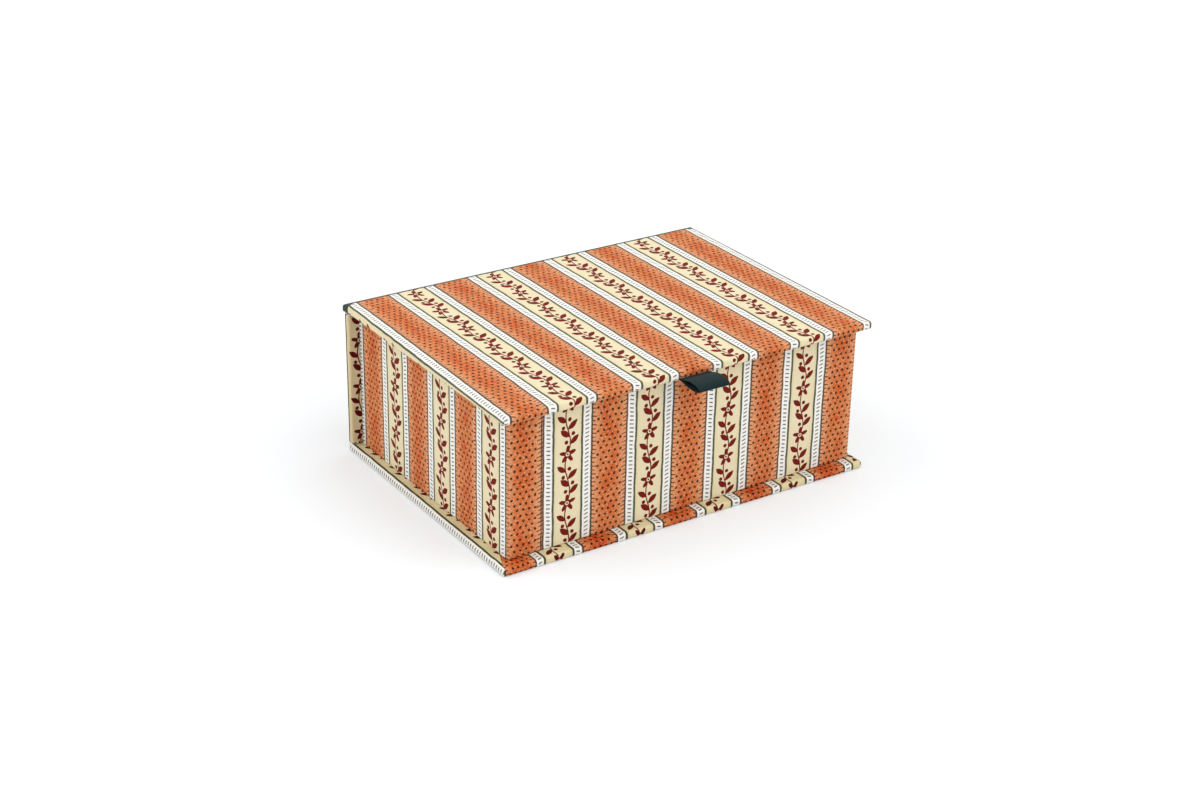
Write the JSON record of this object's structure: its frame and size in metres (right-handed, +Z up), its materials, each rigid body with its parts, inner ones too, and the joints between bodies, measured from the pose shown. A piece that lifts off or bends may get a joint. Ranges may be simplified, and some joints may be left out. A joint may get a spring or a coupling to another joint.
{
  "type": "keepsake box",
  "caption": "Book-style paper-covered keepsake box: a walled tray on a projecting base, with a spine board, a cloth-hinged lid and a ribbon pull.",
  "frame": {"origin": "middle of the base's underside, where the box rests", "axes": "+X to the right along the front, +Y from the front to the hinged back, +Z up"},
  "size_m": [0.2, 0.1599, 0.0764],
  "materials": {
    "printed_paper": "matte",
    "lining_paper": "matte",
    "greyboard": "matte",
    "gummed_tape": "matte",
    "book_cloth": "matte",
    "ribbon": "matte"
  },
  "bodies": {
    "box": {"base_board": "greyboard", "base_cover_paper": "printed_paper", "spine_board": "greyboard", "spine_cover_paper": "printed_paper", "tray_floor": "greyboard", "tray_front_wall": "greyboard", "tray_back_wall": "greyboard", "tray_left_wall": "greyboard", "tray_right_wall": "greyboard", "tray_corner_stays": "gummed_tape", "tray_cover_paper": "printed_paper", "tray_wall_lining": "lining_paper", "tray_floor_lining": "lining_paper", "hinge_cloth_spine_leaf": "book_cloth"},
    "lid": {"lid_board": "greyboard", "lid_cover_paper": "printed_paper", "lid_lining_paper": "lining_paper", "hinge_cloth_lid_leaf": "book_cloth", "ribbon_pull": "ribbon"}
  },
  "joints": [
    {"name": "lid_hinge", "type": "hinge", "parent": "box", "child": "lid", "pos_m": [0, 0.07265, 0.07225], "axis": [-1, 0, 0], "range_deg": [0, 180]}
  ]
}
